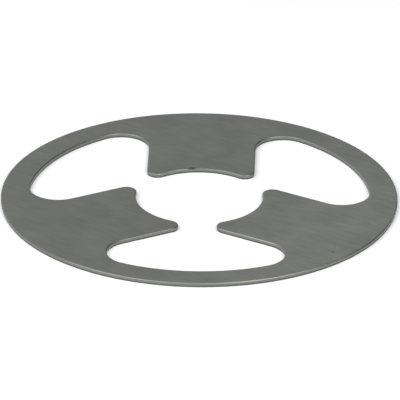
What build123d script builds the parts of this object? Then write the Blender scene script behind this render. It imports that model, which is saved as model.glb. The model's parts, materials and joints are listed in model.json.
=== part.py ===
from build123d import *

# Retaining clip: a flat ring blanked from spring strip, with three lugs that stand in from its rim.
#
# The hollowed ends of the lugs lie on one circle and grip a shaft, or the floor of its groove. Between
# the lugs are three rounded windows, open to the middle, which leave the rim free to flex. All edges are
# sheared ones. The sheet is drawn in beside the tool, so the upper face rounds over into a short slope,
# the roll. Below it the wall is cut straight, the land. The last part tears and leans in under the land,
# the break.
#
# Millimetres and degrees. The ring's axis is Z, its lower face is at Z = 0, and one lug points along +Y.

import os
from math import acos, atan2, cos, degrees, radians, sin, sqrt, tan

# Driving dimensions.
outside_diameter = 78.0
rim_width = 5.4
grip_diameter = 25.0
lug_count = 3
mouth_width = 9.5  # between the sides of two neighbouring lugs, where their corners begin
lug_corner_radius = 2.0
lug_root_radius = 5.6
sheet_thickness = 0.9
roll_height = 0.18
roll_angle = 25.0  # of the slope, from upright
break_height = 0.3
break_angle = 10.0  # from upright
most_of_room = 0.8  # the share of the side or slope beside it that a rounding may fill

# What follows from them.
outside_radius = outside_diameter / 2
rim_inside_radius = outside_radius - rim_width
grip_radius = grip_diameter / 2
half_pitch = 180 / lug_count  # from a lug's middle to the middle of the next window
window_angle = 90 - half_pitch  # where the middle of the window beside the +Y lug lies, from +X


def corner_centre():
    """Centre of a lug's corner arc, which touches the grip circle and the lug's side."""
    reach = grip_radius + lug_corner_radius
    to_window = mouth_width / 2 + lug_corner_radius * cos(radians(half_pitch))
    angle = acos(-to_window / reach) - radians(half_pitch)
    return Vector(reach * cos(angle), reach * sin(angle))


def root_arc(lug_side, lowest):
    """Centre and radius of the arc from a lug's side into the rim, no larger than the window has room for."""
    across = cos(radians(window_angle))
    room_along_side = (rim_inside_radius**2 - lug_side**2 - lowest**2) / (2 * (rim_inside_radius + lug_side))
    room_in_window = (rim_inside_radius * across - lug_side) / (1 + across)
    radius = min(lug_root_radius, most_of_room * room_along_side, most_of_room * room_in_window)
    out = lug_side + radius
    return Vector(out, sqrt((rim_inside_radius - radius) ** 2 - out**2)), radius


def direction(point):
    """Angle of a point from +X, seen from the ring's axis."""
    return degrees(atan2(point.Y, point.X))


def opening():
    """What is cut from the disc: grip circle and windows, bounded by one closed line of tangent arcs."""
    corner = corner_centre()
    root, root_radius = root_arc(corner.X + lug_corner_radius, corner.Y)
    corner_angle, root_angle = direction(corner), direction(root)

    grip_line = CenterArc((0, 0), grip_radius, corner_angle, 180 - 2 * corner_angle)
    rim_line = CenterArc((0, 0), rim_inside_radius, root_angle, 2 * (window_angle - root_angle))
    corner_line = CenterArc(corner, lug_corner_radius, 180 + corner_angle, 180 - corner_angle)
    root_line = CenterArc(root, root_radius, 180, root_angle - 180)
    flank = [corner_line, Line(corner_line @ 1, root_line @ 0), root_line]

    lug_and_window = [grip_line, rim_line] + flank + [mirror(line, Plane.YZ) for line in flank]
    turns = PolarLocations(0, lug_count)
    return make_face([turn * line for turn in turns for line in lug_and_window])


def slope(ring, end, height, angle):
    """Slope the walls next to the upper face (end -1) or the lower face (end 0), and return that face too."""
    face = ring.faces().sort_by(Axis.Z)[end]
    ring = chamfer(face.edges(), height * tan(radians(angle)), height, reference=face)
    return ring, ring.faces().sort_by(Axis.Z)[end]


def shear(ring):
    """Give a ring with square edges the roll along its upper edges and the break along its lower ones."""
    ring, upper_face = slope(ring, -1, roll_height, roll_angle)
    room_on_slope = roll_height / cos(radians(roll_angle)) / tan(radians(90 - roll_angle) / 2)
    ring = fillet(upper_face.edges(), most_of_room * room_on_slope)
    ring, _ = slope(ring, 0, break_height, break_angle)
    return ring


def retaining_clip():
    """The whole clip, from one piece of strip."""
    ring = extrude(Circle(outside_radius) - opening(), sheet_thickness)
    return shear(ring)


os.makedirs("parts", exist_ok=True)
export_step(retaining_clip(), "parts/retaining_clip.step")
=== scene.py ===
"""Dresses the retaining clip and sets the stage it is shown on.

The clip is rebuilt as one fine mesh: two flat rolled faces, joined all the way round by a sheared edge
with its roll, land and break. Its steel has rolling lines, cloudy tone and a few handling marks, with
painted shade in and beside the nick, and painted light that lightens the rolled faces towards the right
front.
"""

import json
from math import acos, atan2, ceil, cos, pi, radians, sin, sqrt, tan

import bmesh
import bpy
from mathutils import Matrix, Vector, noise
from mathutils.geometry import delaunay_2d_cdt
from mathutils.kdtree import KDTree


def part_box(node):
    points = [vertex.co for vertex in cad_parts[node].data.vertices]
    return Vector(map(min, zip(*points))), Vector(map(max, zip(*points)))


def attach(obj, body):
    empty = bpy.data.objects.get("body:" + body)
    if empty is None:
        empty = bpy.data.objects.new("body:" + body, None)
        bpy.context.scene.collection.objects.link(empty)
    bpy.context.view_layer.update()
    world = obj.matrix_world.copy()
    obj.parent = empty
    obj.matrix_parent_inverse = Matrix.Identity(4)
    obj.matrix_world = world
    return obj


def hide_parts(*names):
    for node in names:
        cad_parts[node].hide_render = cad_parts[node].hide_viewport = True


bl_info = {
    "name": "Retaining Clip",
    "version": (1, 0, 0),
    "blender": (4, 5, 0),
    "location": "3D View > Sidebar > Clip",
    "description": "Builds a flat retaining clip of spring strip, and the stage it is shown on",
    "category": "Add Mesh",
}

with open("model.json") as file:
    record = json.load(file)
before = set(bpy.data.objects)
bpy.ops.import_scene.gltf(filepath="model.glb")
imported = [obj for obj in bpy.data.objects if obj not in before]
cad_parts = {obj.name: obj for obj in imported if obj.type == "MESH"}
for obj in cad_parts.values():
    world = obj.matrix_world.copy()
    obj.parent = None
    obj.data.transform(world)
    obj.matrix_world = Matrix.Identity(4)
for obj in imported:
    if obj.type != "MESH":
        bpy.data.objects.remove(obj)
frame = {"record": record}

NODE = "retaining_clip"
MM = 0.001

box_low, box_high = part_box(NODE)
grip = next(mount for mount in frame["record"]["mounts"] if mount["name"] == "shaft_grip")


# ---------------------------------------------------------------------------------------------------
# Settings
# ---------------------------------------------------------------------------------------------------


def number(name, description, default):
    """A plain number."""
    return bpy.props.FloatProperty(name=name, description=description, default=default)


def length(name, description, default, low=0.0):
    """A length in metres, shown in the scene's unit."""
    return bpy.props.FloatProperty(
        name=name,
        description=description,
        default=default,
        min=low,
        precision=6,
        subtype="DISTANCE",
        unit="LENGTH",
    )


def angle(name, description, default):
    """An angle, given here in degrees."""
    return bpy.props.FloatProperty(
        name=name, description=description, default=radians(default), subtype="ANGLE", unit="ROTATION"
    )


def share(name, description, default):
    """A share from 0 to 1."""
    return bpy.props.FloatProperty(
        name=name, description=description, default=default, min=0, max=1, subtype="FACTOR"
    )


def colour(name, description, default):
    """A linear colour."""
    return bpy.props.FloatVectorProperty(
        name=name, description=description, default=default, size=3, min=0, max=2, subtype="COLOR"
    )


def position(name, description, default):
    """A point in the clip's own frame."""
    return bpy.props.FloatVectorProperty(
        name=name,
        description=description,
        default=default,
        size=3,
        precision=6,
        subtype="TRANSLATION",
        unit="LENGTH",
    )


class ClipSizes(bpy.types.PropertyGroup):
    """The clip's outline and section."""

    outside_radius: length("Outside radius", "From the axis to the rim's outer wall", max(box_high.xy))
    rim_width: length("Rim width", "Between the rim's outer and inner walls", 5.4 * MM)
    grip_radius: length("Grip radius", "Of the circle that the lug ends lie on", grip["dims"]["r_mm"] * MM)
    lug_count: bpy.props.IntProperty(name="Lugs", description="Lugs round the rim", default=3, min=2, max=6)
    mouth_width: length("Mouth width", "Between neighbouring lugs, where their corners begin", 9.5 * MM)
    corner_radius: length("Corner radius", "Of a lug's corners", 2.0 * MM)
    root_radius: length("Root radius", "Between a lug's side and the rim", 5.6 * MM)
    thickness: length("Thickness", "Of the sheet", box_high.z)
    roll_height: length("Roll height", "How far down the drawn-in upper edge reaches", 0.18 * MM)
    roll_angle: angle("Roll angle", "Of the roll's slope, from upright", 25)
    roll_fill: share("Roll fill", "Share of the slope that the rounding above it takes", 0.8)
    break_height: length("Break height", "How far up the torn part of the wall reaches", 0.3 * MM)
    break_angle: angle("Break angle", "Of the torn part, from upright", 10)
    tear: length("Tear", "How far the line between land and break wanders up and down", 0.035 * MM)
    step: length("Step", "Length of a facet along the outline", 0.3 * MM)
    face_step: length("Face step", "Spacing of the points inside the flat faces", 1.6 * MM)


class HandlingMarks(bpy.types.PropertyGroup):
    """The marks that use has left on the upper face, and the shade painted in and beside the nick."""

    nick_turn: angle("Nick turn", "Place of the nick on the grip circle, anticlockwise from +Y", 8.0)
    nick_length: length("Nick length", "Along the edge", 2.6 * MM)
    nick_depth: length("Nick depth", "Into the roll", 0.13 * MM)
    nick_width: length("Nick width", "Across the nick's shade", 0.9 * MM)
    nick_inset: length("Nick inset", "From the grip circle to the middle of the nick's shade", 0.3 * MM)
    # painted shade: how dark the nick's dent and the face beside it are painted, as shade falls in the dent
    nick_painted_shade: share("Nick shade", "How far the nick takes on the mark tone", 0.85)
    pit_place: position("Pit place", "Centre of the pit", (26.5 * MM, -24.3 * MM, 0))
    pit_size: length("Pit size", "Across the pit", 0.7 * MM)
    pit_depth: length("Pit depth", "Of the pit", 0.06 * MM)
    pit_dark: share("Pit shade", "How far the pit takes on the mark tone", 0.6)
    scratch_place: position("Scratch place", "Middle of the scratch", (-1.6 * MM, 26.2 * MM, 0))
    scratch_turn: angle("Scratch turn", "Direction of the scratch, from +X", -12)
    scratch_length: length("Scratch length", "From end to end", 3.6 * MM)
    scratch_width: length("Scratch width", "Across the scratch", 0.5 * MM)
    scratch_dark: share("Scratch shade", "How far the scratch takes on the mark tone", 0.3)


class SteelFinish(bpy.types.PropertyGroup):
    """The steel's colours and surface."""

    dark_tone: colour("Dark tone", "Rolled face, darkest", (0.160, 0.166, 0.151))
    light_tone: colour("Light tone", "Rolled face, lightest", (0.250, 0.259, 0.235))
    land_tone: colour("Land tone", "Straight part of the cut wall", (0.215, 0.222, 0.203))
    break_tone: colour("Break tone", "Torn part of the cut wall", (0.130, 0.134, 0.122))
    # darkens the pit and the scratch, and is the painted shade in and beside the nick
    mark_and_painted_shade_tone: colour("Mark and painted shade tone", "Inside nicks and pits", (0.035, 0.036, 0.033))
    # painted light: the rolled faces are painted lighter towards the clip's right front, as if more light
    # fell there
    painted_light_tone: colour("Painted light tone", "What the far side's tone is multiplied by", (1.2, 1.2, 1.17))
    painted_light_angle: angle("Painted light angle", "Direction in which the tone drifts, from +X", -32)
    painted_light_start: length("Painted light start", "Where the drift starts, from the axis", -3 * MM, low=-1.0)
    painted_light_end: length("Painted light end", "Where the drift ends, from the axis", 36 * MM, low=-1.0)
    face_roughness: share("Face roughness", "Of the rolled faces", 0.42)
    land_roughness: share("Land roughness", "Of the straight part of the cut wall", 0.45)
    break_roughness: share("Break roughness", "Of the torn part of the cut wall", 0.6)
    rolling_angle: angle("Rolling angle", "Direction in which the strip was rolled, from +X", -32)


class StageSettings(bpy.types.PropertyGroup):
    """Floor, light and camera."""

    floor_size: length("Floor size", "Side of the square floor", 12.0)
    floor_tone: colour("Floor tone", "Of the floor", (0.9, 0.9, 0.9))
    room_light: number("Room light", "Strength of the even light", 0.75)
    open_light: number("Open light", "Strength of the light at the dim side", 0.1)
    open_turn: angle("Open turn", "Where the dim side lies, from the front", 115)
    open_from: number("Open from", "Cosine at which the dimming starts", 0.2)
    open_full: number("Open full", "Cosine at which the light is at its dimmest", 0.95)
    left_light: number("Left light", "Radiance of the left light", 2.0)
    left_turn: angle("Left turn", "Where the left light stands, from the front", -52)
    left_size: length("Left size", "Side of the left light", 0.6)
    right_light: number("Right light", "Radiance of the right light", 3.1)
    right_turn: angle("Right turn", "Where the right light stands, from the front", 40)
    right_size: length("Right size", "Side of the right light", 0.45)
    lamp_rise: angle("Lamp rise", "Height of both lights above the horizon", 38)
    lamp_distance: length("Lamp distance", "From the clip to both lights", 0.6)
    view_turn: angle("View turn", "Camera's place round the clip, from the front", 1.329)
    view_rise: angle("View rise", "Camera's height above the horizon", 25.46)
    view_roll: angle("View roll", "Turn of the camera about its own axis", 0.464)
    view_distance: length("View distance", "From the camera to the point it looks at", 1.2139)
    lens: number("Lens", "Focal length in millimetres", 556.3)
    sensor: number("Sensor", "Width of the camera's sensor in millimetres", 36.0)
    sight: length("Sight", "How far the camera sees", 100.0)
    aim_across: length("Aim across", "From the axis to the point looked at, rightwards", 0.154 * MM)
    aim_near: length("Aim near", "From the axis to the point looked at, towards the camera", 2.043 * MM)


# ---------------------------------------------------------------------------------------------------
# Outline and section
# ---------------------------------------------------------------------------------------------------


def turned(point, by):
    """A point or direction in the plane, turned about the axis."""
    return Vector((point.x * cos(by) - point.y * sin(by), point.x * sin(by) + point.y * cos(by)))


def arc(centre, radius, start, sweep, steel_inside, step):
    """Points along an arc, without its last one, each with the direction away from the steel."""
    count = max(3, ceil(abs(sweep) * radius / step))
    away = 1 if steel_inside else -1
    spokes = [Vector((cos(start + sweep * i / count), sin(start + sweep * i / count))) for i in range(count)]
    return [(centre + spoke * radius, spoke * away) for spoke in spokes]


def straight(start, end, away, step):
    """Points along a straight, without its last one, each with the direction away from the steel."""
    count = max(2, ceil((end - start).length / step))
    return [(start.lerp(end, i / count), away.copy()) for i in range(count)]


def rim_outline(sizes):
    """The rim's outer wall, anticlockwise."""
    return arc(Vector((0, 0)), sizes.outside_radius, 0, 2 * pi, True, sizes.step)


def opening_outline(sizes):
    """Grip arcs, lug corners, sides and roots, and the windows' outer arcs, as one line, anticlockwise."""
    axis, step = Vector((0, 0)), sizes.step
    rim = sizes.outside_radius - sizes.rim_width
    half_pitch = pi / sizes.lug_count
    window = pi / 2 - half_pitch

    reach = sizes.grip_radius + sizes.corner_radius
    to_window = sizes.mouth_width / 2 + sizes.corner_radius * cos(half_pitch)
    swing = acos(-to_window / reach) - half_pitch
    corner = Vector((reach * cos(swing), reach * sin(swing)))
    side = corner.x + sizes.corner_radius
    out = side + sizes.root_radius
    root = Vector((out, sqrt((rim - sizes.root_radius) ** 2 - out**2)))
    root_angle = atan2(root.y, root.x)

    def mirrored(centre):
        return Vector((-centre.x, centre.y))

    lug = arc(axis, rim, 2 * window - root_angle, 2 * (root_angle - window), False, step)
    lug += arc(root, sizes.root_radius, root_angle, pi - root_angle, False, step)
    lug += straight(Vector((side, root.y)), Vector((side, corner.y)), Vector((1, 0)), step)
    lug += arc(corner, sizes.corner_radius, 0, swing - pi, True, step)
    lug += arc(axis, sizes.grip_radius, swing, pi - 2 * swing, False, step)
    lug += arc(mirrored(corner), sizes.corner_radius, -swing, swing - pi, True, step)
    lug += straight(Vector((-side, corner.y)), Vector((-side, root.y)), Vector((-1, 0)), step)
    lug += arc(mirrored(root), sizes.root_radius, 0, pi - root_angle, False, step)
    turns = [2 * half_pitch * i for i in range(sizes.lug_count)]
    return [(turned(point, by), turned(away, by)) for by in turns for point, away in lug]


ROLL, LAND, BREAK = range(3)  # material slots on the mesh, from the upper face down


def section(sizes):
    """The cut edge from the upper face down: (how far inside the land, height, slot of the band below)."""
    slope_turn = pi / 2 - sizes.roll_angle
    slope = sizes.roll_height / cos(sizes.roll_angle)
    run = sizes.roll_fill * slope
    radius = run / tan(slope_turn / 2)
    start = sizes.roll_height * tan(sizes.roll_angle) + run
    rows = []
    round_rows, land_rows, break_rows = 7, 4, 4
    for i in range(round_rows + 1):
        at = slope_turn * i / round_rows
        rows.append((start - radius * sin(at), sizes.thickness - radius * (1 - cos(at)), ROLL))
    land_top = sizes.thickness - sizes.roll_height
    for i in range(land_rows):
        rows.append((0.0, land_top + (sizes.break_height - land_top) * i / land_rows, LAND))
    for i in range(break_rows + 1):
        height = sizes.break_height * (1 - i / break_rows)
        rows.append(((sizes.break_height - height) * tan(sizes.break_angle), height, BREAK))
    return rows


def hollow(far, size):
    """A soft dip: 1 in its middle, 0 from half its size on."""
    left = max(0.0, 1 - (2 * far / size) ** 2)
    return left * left


def nick_hollow(point, sizes, marks):
    """How strongly the nick cuts into the edge at a point of the outline."""
    middle = Vector((-sin(marks.nick_turn), cos(marks.nick_turn))) * sizes.grip_radius
    return hollow((point - middle).length, marks.nick_length)


NICK_SINK = 0.6  # share of the nick's depth by which it also lowers the roll
TEAR_COARSE = 0.9 * MM  # spacing of the wide waves in the line between land and break
TEAR_FINE = 0.25 * MM  # and of the narrow ones on them
TEAR_FINE_SHARE = 0.6  # height of the narrow waves, as a share of the wide ones


def edge_point(point, away, inside, height, sizes, marks):
    """Where a point of the section lies, with the nick and the wandering line between land and break."""
    land_top = sizes.thickness - sizes.roll_height
    if height > land_top:
        on_roll = (height - land_top) / sizes.roll_height
        cut = marks.nick_depth * on_roll * nick_hollow(point, sizes, marks)
        inside += cut
        if height < sizes.thickness:
            height -= cut * NICK_SINK
    elif 0 < height < land_top:
        tear = noise.noise(Vector((point.x, point.y, 0)) / TEAR_COARSE)
        tear += TEAR_FINE_SHARE * noise.noise(Vector((point.x, point.y, MM)) / TEAR_FINE)
        middle = sizes.break_height
        on_wall = (land_top - height) / (land_top - middle) if height > middle else height / middle
        height += sizes.tear * tear * on_wall
    at = point - away * inside
    return Vector((at.x, at.y, height))


# ---------------------------------------------------------------------------------------------------
# Meshes
# ---------------------------------------------------------------------------------------------------

SHARP = radians(18)  # where two faces meet at this angle or more, the edge between them is sharp
CLEAR = 0.45  # of the points inside a face from its border, as a share of their spacing
PIT_REACH = 0.6  # of the rings of points round the pit, as a share of its size: a little past it


def sheared_edge(mesh, outline, sizes, marks):
    """Skins the section along a closed outline, and returns its rows of vertices from the top down."""
    rows = []
    bands = section(sizes)
    for inside, height, _ in bands:
        places = [edge_point(point, away, inside, height, sizes, marks) for point, away in outline]
        rows.append([mesh.verts.new(at) for at in places])
    for (_, _, slot), upper, lower in zip(bands, rows, rows[1:]):
        for i in range(len(outline)):
            j = (i + 1) % len(outline)
            face = mesh.faces.new((upper[i], lower[i], lower[j], upper[j]))
            face.material_index = slot
    return rows


def side_test(border):
    """A function that says whether a point lies on the steel's side of a border, and how far from it."""
    tree = KDTree(len(border))
    for i, (point, _) in enumerate(border):
        tree.insert(point.to_3d(), i)
    tree.balance()

    def test(point):
        _, nearest, far = tree.find(point.to_3d())
        spot, away = border[nearest]
        return (point - spot).dot(away) < 0, far

    return test


def inner_points(test, spacing, reach):
    """A triangular grid of points on the steel, clear of a face's border."""
    row_step = spacing * sqrt(3) / 2
    count = ceil(reach / row_step)
    points = []
    for row in range(-count, count + 1):
        for column in range(-count, count + 1):
            point = Vector(((column + (row % 2) / 2) * spacing, row * row_step))
            on_steel, far = test(point)
            if on_steel and far > spacing * CLEAR:
                points.append(point)
    return points


def pit_points(marks):
    """Rings of points that carry the pit's shape."""
    middle = marks.pit_place.xy
    rings = 6
    points = [middle]
    for i in range(1, rings + 1):
        radius = marks.pit_size * PIT_REACH * i / rings
        count = 6 * i
        turns = [2 * pi * j / count for j in range(count)]
        points += [middle + Vector((cos(by), sin(by))) * radius for by in turns]
    return points


def flat_face(mesh, loops, outlines, spacing, marks):
    """Fills the steel between an outer loop and an inner one, and sinks the pit where marks are given."""
    verts = [vert for loop in loops for vert in loop]
    aways = [away for outline in outlines for _, away in outline]
    border = [(vert.co.xy, away) for vert, away in zip(verts, aways)]
    height = verts[0].co.z
    edges, start = [], 0
    for loop in loops:
        edges += [(start + i, start + (i + 1) % len(loop)) for i in range(len(loop))]
        start += len(loop)
    test = side_test(border)
    points = [point for point, _ in border]
    grid = inner_points(test, spacing, verts[0].co.xy.length)
    if marks:
        grid = [point for point in grid if (point - marks.pit_place.xy).length > marks.pit_size]
        grid += pit_points(marks)
    points += grid
    within_edges, closest = 1, 1e-9  # which triangles are wanted, and how close two points may lie
    places, _, triangles, sources, _, _ = delaunay_2d_cdt(points, edges, [], within_edges, closest)

    def corner_at(i):
        """The loops' own vertex at a place, or a new one."""
        source = sources[i][0] if sources[i] else len(verts)
        if source < len(verts):
            return verts[source]
        sunk = 0
        if marks:
            sunk = marks.pit_depth * hollow((places[i] - marks.pit_place.xy).length, marks.pit_size)
        return mesh.verts.new((*places[i], height - sunk))

    made = {}
    for corners in triangles:
        if not test(sum((places[i] for i in corners), Vector((0, 0))) / 3)[0]:
            continue
        for i in corners:
            if i not in made:
                made[i] = corner_at(i)
        mesh.faces.new([made[i] for i in corners])


def clip_mesh(sizes, marks):
    """The whole clip as one closed mesh."""
    mesh = bmesh.new()
    outlines = [rim_outline(sizes), opening_outline(sizes)]
    rim, opening = [sheared_edge(mesh, outline, sizes, marks) for outline in outlines]
    flat_face(mesh, [rim[-1], opening[-1]], outlines, sizes.face_step, None)
    flat_face(mesh, [rim[0], opening[0]], outlines, sizes.face_step, marks)
    bmesh.ops.recalc_face_normals(mesh, faces=mesh.faces)
    for face in mesh.faces:
        face.smooth = True
    for edge in mesh.edges:
        one, other = edge.link_faces
        edge.smooth = one.material_index == other.material_index and edge.calc_face_angle() < SHARP
    data = bpy.data.meshes.new("clip")
    mesh.to_mesh(data)
    mesh.free()
    return data


# ---------------------------------------------------------------------------------------------------
# Materials
# ---------------------------------------------------------------------------------------------------


def add(tree, kind, fed=None, **settings):
    """Adds a node with its settings. Each input named in fed is linked to a socket or set to a value."""
    node = tree.nodes.new(kind)
    for name, value in settings.items():
        setattr(node, name, value)
    for socket, value in (fed or {}).items():
        if isinstance(value, bpy.types.NodeSocket):
            tree.links.new(value, node.inputs[socket])
        else:
            node.inputs[socket].default_value = value
    return node


def product(tree, a, b):
    """Two numbers or sockets, multiplied."""
    return add(tree, "ShaderNodeMath", {0: a, 1: b}, operation="MULTIPLY").outputs[0]


def new_group(name, inputs, outputs):
    """An empty shader node group, with the sockets that give its inputs and those that take its outputs."""
    group = bpy.data.node_groups.new(name, "ShaderNodeTree")
    for socket, kind in inputs.items():
        group.interface.new_socket(socket, in_out="INPUT", socket_type=kind)
    for socket, kind in outputs.items():
        group.interface.new_socket(socket, in_out="OUTPUT", socket_type=kind)
    entry = group.nodes.new("NodeGroupInput")
    leave = group.nodes.new("NodeGroupOutput")
    return group, entry.outputs, leave.inputs


NUMBER, VECTOR = "NodeSocketFloat", "NodeSocketVector"


def measured(group, place, given, depth):
    """A place, turned until X lies along the given direction and measured in the given lengths."""
    turn = product(group, given["Direction"], -1.0)
    along = add(group, "ShaderNodeVectorRotate", {"Vector": place, "Angle": turn}, rotation_type="Z_AXIS")
    sizes = add(group, "ShaderNodeCombineXYZ", {"X": given["Length"], "Y": given["Width"], "Z": depth})
    fed = {0: along.outputs[0], 1: sizes.outputs[0]}
    return add(group, "ShaderNodeVectorMath", fed, operation="DIVIDE").outputs[0]


def line_grain_group():
    """Lines drawn out along one direction: the tone of a rolled or cut surface, from 0 to 1."""
    inputs = {"Place": VECTOR, "Direction": NUMBER, "Length": NUMBER, "Width": NUMBER, "Depth": NUMBER}
    group, given, result = new_group("Line Grain", inputs, {"Tone": NUMBER})
    place = measured(group, given["Place"], given, given["Depth"])
    fed = {"Vector": place, "Scale": 1.0, "Detail": 2.0, "Roughness": 0.55}
    grain = add(group, "ShaderNodeTexNoise", fed)
    group.links.new(grain.outputs["Fac"], result["Tone"])
    return group


def mark_group():
    """One long or round mark, from 1 in its middle to 0 at its border."""
    inputs = {"Place": VECTOR, "Centre": VECTOR, "Direction": NUMBER, "Length": NUMBER, "Width": NUMBER}
    group, given, result = new_group("Mark", inputs, {"Mask": NUMBER})
    depth = 1 * MM  # the mark is gone at half of this above or below its centre
    fed = {0: given["Place"], 1: given["Centre"]}
    offset = add(group, "ShaderNodeVectorMath", fed, operation="SUBTRACT")
    place = measured(group, offset.outputs[0], given, depth)
    far = add(group, "ShaderNodeVectorMath", {0: place}, operation="LENGTH")
    fed = {"Value": far.outputs["Value"], "From Min": 0.1, "From Max": 0.5, "To Min": 1.0, "To Max": 0.0}
    mask = add(group, "ShaderNodeMapRange", fed, interpolation_type="SMOOTHSTEP")
    group.links.new(mask.outputs["Result"], result["Mask"])
    return group


def placed(tree, group, fed, output):
    """An output of a node group, placed with its own values."""
    return add(tree, "ShaderNodeGroup", fed, node_tree=group).outputs[output]


def new_material(name):
    """An empty material with its shader and the object's own coordinates."""
    material = bpy.data.materials.new(name)
    material.use_nodes = True
    tree = material.node_tree
    shader = tree.nodes["Principled BSDF"]
    shader.inputs["Metallic"].default_value = 1.0
    place = add(tree, "ShaderNodeTexCoord").outputs["Object"]
    return material, tree, shader, place


def weighted(tree, parts):
    """The sum of some tones, each with its weight."""
    total = 0.0
    for tone, weight in parts:
        fed = {0: tone, 1: weight, 2: total}
        total = add(tree, "ShaderNodeMath", fed, operation="MULTIPLY_ADD").outputs[0]
    return total


COLOUR_A, COLOUR_B, COLOUR_OUT = 6, 7, 2  # a Mix node's colour sockets, whose names its others share


def mix(tree, factor, a, b, blend="MIX"):
    """A blend of two colours, each of them a colour or a socket."""
    fed = {"Factor": factor}
    for socket, value in ((COLOUR_A, a), (COLOUR_B, b)):
        fed[socket] = value if isinstance(value, bpy.types.NodeSocket) else (*value, 1.0)
    return add(tree, "ShaderNodeMix", fed, data_type="RGBA", blend_type=blend).outputs[COLOUR_OUT]


def shades(tone, spread):
    """A tone made darker and lighter by a share of itself."""
    return [value * (1 - spread) for value in tone], [value * (1 + spread) for value in tone]


def relief(tree, shader, height, strength, depth):
    """Gives a surface its fine relief."""
    bump = add(tree, "ShaderNodeBump", {"Strength": strength, "Distance": depth, "Height": height})
    tree.links.new(bump.outputs["Normal"], shader.inputs["Normal"])


def face_marks(marks, sizes):
    """The marks on the upper face: what places each of them, and how far it takes on the mark tone, which is
    painted shade at the nick.
    """
    face = Vector((0, 0, sizes.thickness))
    to_nick = Vector((-sin(marks.nick_turn), cos(marks.nick_turn), 0))
    pit_shade = marks.pit_size * 1.3
    # painted shade: the nick's dent and the face beside it are painted dark
    nick = {
        "Centre": to_nick * (sizes.grip_radius + marks.nick_inset) + face,
        "Direction": marks.nick_turn,
        "Length": marks.nick_length,
        "Width": marks.nick_width,
    }
    pit = {
        "Centre": marks.pit_place + face,
        "Direction": 0.0,
        "Length": pit_shade,
        "Width": pit_shade,
    }
    scratch = {
        "Centre": marks.scratch_place + face,
        "Direction": marks.scratch_turn,
        "Length": marks.scratch_length,
        "Width": marks.scratch_width,
    }
    return (nick, marks.nick_painted_shade), (pit, marks.pit_dark), (scratch, marks.scratch_dark)


LINE_DEPTH = 0.004 * MM  # of the lines that rolling and cutting leave


def rolled_face(finish, marks, sizes, groups):
    """Rolled strip: lines of many widths along the rolling direction on cloudy grey, and its marks, with
    painted shade in and beside the nick and painted light towards the right front.
    """
    material, tree, shader, place = new_material("rolled face")

    def lines(along, across):
        fed = {"Place": place, "Direction": finish.rolling_angle, "Length": along}
        fed |= {"Width": across, "Depth": across}
        return placed(tree, groups["grain"], fed, "Tone")

    fine, middle, broad = lines(2.5 * MM, 0.1 * MM), lines(4 * MM, 0.5 * MM), lines(9 * MM, 1.6 * MM)
    clouds_per_metre = 130.0
    fed = {"Vector": place, "Scale": clouds_per_metre, "Detail": 3.0}
    cloud = add(tree, "ShaderNodeTexNoise", fed).outputs["Fac"]
    tone = weighted(tree, ((fine, 0.12), (middle, 0.35), (broad, 0.13), (cloud, 0.4)))
    darkest, lightest = 0.28, 0.72  # where the summed tone meets the two colours
    fed = {"Value": tone, "From Min": darkest, "From Max": lightest}
    spread = add(tree, "ShaderNodeMapRange", fed).outputs["Result"]
    steel = mix(tree, spread, finish.dark_tone, finish.light_tone)

    # painted light: lightens the rolled faces towards the right front, as if more light fell there
    painted_light = painted_light_mask(tree, place, finish)
    steel = mix(tree, painted_light, steel, finish.painted_light_tone, "MULTIPLY")

    # darkens the pit and the scratch, and paints shade in and beside the nick
    for mark, dark in face_marks(marks, sizes):
        mask = placed(tree, groups["mark"], {"Place": place, **mark}, "Mask")
        steel = mix(tree, product(tree, mask, dark), steel, finish.mark_and_painted_shade_tone)
    tree.links.new(steel, shader.inputs["Base Color"])

    sway = 0.06  # how far the fine lines move the roughness either way
    fed = {"Value": fine, "To Min": finish.face_roughness - sway, "To Max": finish.face_roughness + sway}
    rough = add(tree, "ShaderNodeMapRange", fed)
    tree.links.new(rough.outputs["Result"], shader.inputs["Roughness"])
    relief(tree, shader, weighted(tree, ((fine, 0.4), (middle, 1.0))), 0.25, LINE_DEPTH)
    return material


def painted_light_mask(tree, place, finish):
    """How far the rolled face is painted lighter towards its right front, as if more light fell there: from
    0 to 1 across the clip.
    """
    fed = {"Vector": place, "Angle": -finish.painted_light_angle}
    turned_place = add(tree, "ShaderNodeVectorRotate", fed, rotation_type="Z_AXIS")
    along = add(tree, "ShaderNodeSeparateXYZ", {"Vector": turned_place.outputs[0]}).outputs["X"]
    fed = {"Value": along, "From Min": finish.painted_light_start, "From Max": finish.painted_light_end}
    return add(tree, "ShaderNodeMapRange", fed, interpolation_type="SMOOTHSTEP").outputs["Result"]


def cut_land(finish, groups):
    """Straight part of the cut wall: burnished, with fine upright lines."""
    material, tree, shader, place = new_material("cut land")
    fed = {"Place": place, "Direction": 0.0, "Length": 0.1 * MM, "Width": 0.1 * MM, "Depth": 3 * MM}
    lines = placed(tree, groups["grain"], fed, "Tone")
    tree.links.new(mix(tree, lines, *shades(finish.land_tone, 0.2)), shader.inputs["Base Color"])
    shader.inputs["Roughness"].default_value = finish.land_roughness
    relief(tree, shader, lines, 0.4, LINE_DEPTH)
    return material


def torn_break(finish, groups):
    """Torn part of the cut wall: dull and granular."""
    material, tree, shader, place = new_material("torn break")
    fed = {"Place": place, "Direction": 0.0, "Length": 0.05 * MM, "Width": 0.05 * MM, "Depth": 0.08 * MM}
    grit = placed(tree, groups["grain"], fed, "Tone")
    tree.links.new(mix(tree, grit, *shades(finish.break_tone, 0.3)), shader.inputs["Base Color"])
    shader.inputs["Roughness"].default_value = finish.break_roughness
    grit_depth = 0.01 * MM
    relief(tree, shader, grit, 0.6, grit_depth)
    return material


# ---------------------------------------------------------------------------------------------------
# Operators
# ---------------------------------------------------------------------------------------------------


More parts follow.
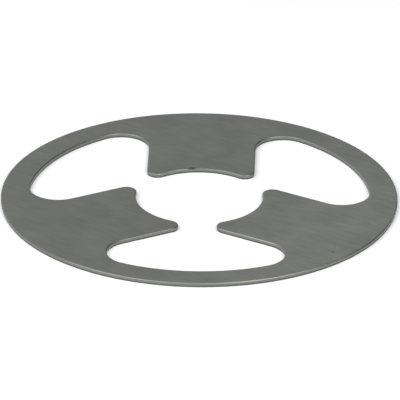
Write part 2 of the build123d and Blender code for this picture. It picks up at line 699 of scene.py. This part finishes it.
class CLIP_OT_build(bpy.types.Operator):
    """Build the clip's fine mesh and its steel, and put it in the place of the plain one"""

    bl_idname = "clip.build"
    bl_label = "Build Clip"

    def execute(self, context):
        sizes, marks, finish = context.scene.clip_sizes, context.scene.clip_marks, context.scene.clip_finish
        groups = {"grain": line_grain_group(), "mark": mark_group()}
        clip = bpy.data.objects.new("clip", clip_mesh(sizes, marks))
        context.scene.collection.objects.link(clip)
        steels = (
            rolled_face(finish, marks, sizes, groups),
            cut_land(finish, groups),
            torn_break(finish, groups),
        )
        for material in steels:
            clip.data.materials.append(material)
        even = clip.modifiers.new("even shading", "WEIGHTED_NORMAL")
        even.keep_sharp = True
        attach(clip, "root")
        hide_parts(NODE)
        return {"FINISHED"}


def bearing(turn, rise):
    """The direction to something, from its turn round the clip from the front and its height."""
    return Vector((sin(turn) * cos(rise), -cos(turn) * cos(rise), sin(rise)))


def add_camera(context, stage):
    """A long lens, looking down at the clip from the front."""
    turn, rise, roll = stage.view_turn, stage.view_rise, stage.view_roll
    toward = bearing(turn, rise)
    right = Vector((cos(turn), sin(turn), 0))
    near = Vector((sin(turn), -cos(turn), 0))
    target = Vector((0, 0, box_high.z)) + right * stage.aim_across + near * stage.aim_near
    lens = bpy.data.cameras.new("camera")
    lens.lens = stage.lens
    lens.sensor_width = stage.sensor
    lens.clip_end = stage.sight
    camera = bpy.data.objects.new("camera", lens)
    camera.location = target + toward * stage.view_distance
    camera.rotation_euler = toward.to_track_quat("Z", "Y").to_euler()
    camera.rotation_euler.rotate_axis("Z", roll)
    context.scene.collection.objects.link(camera)
    context.scene.camera = camera


def add_floor(context, stage):
    """A plain pale floor under the clip."""
    half = stage.floor_size / 2
    corners = [(-half, -half, 0), (half, -half, 0), (half, half, 0), (-half, half, 0)]
    data = bpy.data.meshes.new("floor")
    data.from_pydata(corners, [], [(0, 1, 2, 3)])
    floor = bpy.data.objects.new("floor", data)
    context.scene.collection.objects.link(floor)
    material = bpy.data.materials.new("floor")
    material.use_nodes = True
    shader = material.node_tree.nodes["Principled BSDF"]
    shader.inputs["Base Color"].default_value = (*stage.floor_tone, 1.0)
    shader.inputs["Roughness"].default_value = 1.0
    shader.inputs["Specular IOR Level"].default_value = 0.0
    data.materials.append(material)


def add_lamp(context, stage, name, turn, size, radiance):
    """A square soft light of a given radiance, facing the clip."""
    lamp = bpy.data.lights.new(name, "AREA")
    lamp.shape = "SQUARE"
    lamp.size = size
    lamp.energy = radiance * pi * size**2
    toward = bearing(turn, stage.lamp_rise)
    holder = bpy.data.objects.new(name, lamp)
    holder.location = toward * stage.lamp_distance
    holder.rotation_euler = toward.to_track_quat("Z", "Y").to_euler()
    holder.visible_camera = False
    context.scene.collection.objects.link(holder)


def room(stage):
    """An even pale room that is dimmer towards its open side."""
    world = bpy.data.worlds.new("room")
    world.use_nodes = True
    tree = world.node_tree
    way = add(tree, "ShaderNodeTexCoord").outputs["Generated"]
    fed = {0: way, 1: bearing(stage.open_turn, 0)}
    toward = add(tree, "ShaderNodeVectorMath", fed, operation="DOT_PRODUCT")
    fed = {"Value": toward.outputs["Value"], "From Min": stage.open_from, "From Max": stage.open_full}
    fed |= {"To Min": stage.room_light, "To Max": stage.open_light}
    light = add(tree, "ShaderNodeMapRange", fed, interpolation_type="SMOOTHSTEP")
    tree.nodes["Background"].inputs["Color"].default_value = (1, 1, 1, 1)
    tree.links.new(light.outputs["Result"], tree.nodes["Background"].inputs["Strength"])
    return world


class CLIP_OT_stage(bpy.types.Operator):
    """Lay the floor, set the light and place the camera"""

    bl_idname = "clip.stage"
    bl_label = "Set Stage"

    def execute(self, context):
        stage = context.scene.clip_stage
        add_floor(context, stage)
        context.scene.world = room(stage)
        add_lamp(context, stage, "left light", stage.left_turn, stage.left_size, stage.left_light)
        add_lamp(context, stage, "right light", stage.right_turn, stage.right_size, stage.right_light)
        add_camera(context, stage)
        context.scene.view_settings.view_transform = "Standard"
        return {"FINISHED"}


class CLIP_PT_panel(bpy.types.Panel):
    """The clip's settings and the buttons that build it"""

    bl_idname = "CLIP_PT_panel"
    bl_label = "Retaining Clip"
    bl_space_type = "VIEW_3D"
    bl_region_type = "UI"
    bl_category = "Clip"

    def draw(self, context):
        scene = context.scene
        steps = (
            (CLIP_OT_build, (scene.clip_sizes, scene.clip_marks, scene.clip_finish)),
            (CLIP_OT_stage, (scene.clip_stage,)),
        )
        for operator, settings in steps:
            column = self.layout.column()
            for group in settings:
                for name in group.__annotations__:
                    column.prop(group, name)
            column.operator(operator.bl_idname)


CLASSES = (ClipSizes, HandlingMarks, SteelFinish, StageSettings, CLIP_OT_build, CLIP_OT_stage, CLIP_PT_panel)


def register():
    """Makes the settings, operators and panel known to Blender."""
    for cls in CLASSES:
        bpy.utils.register_class(cls)
    bpy.types.Scene.clip_sizes = bpy.props.PointerProperty(type=ClipSizes)
    bpy.types.Scene.clip_marks = bpy.props.PointerProperty(type=HandlingMarks)
    bpy.types.Scene.clip_finish = bpy.props.PointerProperty(type=SteelFinish)
    bpy.types.Scene.clip_stage = bpy.props.PointerProperty(type=StageSettings)


def unregister():
    """Takes them away again."""
    del bpy.types.Scene.clip_stage, bpy.types.Scene.clip_finish
    del bpy.types.Scene.clip_marks, bpy.types.Scene.clip_sizes
    for cls in reversed(CLASSES):
        bpy.utils.unregister_class(cls)


def main():
    """Registers the add-on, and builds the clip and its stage."""
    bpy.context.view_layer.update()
    register()
    bpy.ops.clip.build()
    bpy.ops.clip.stage()


if __name__ == "__main__":
    main()
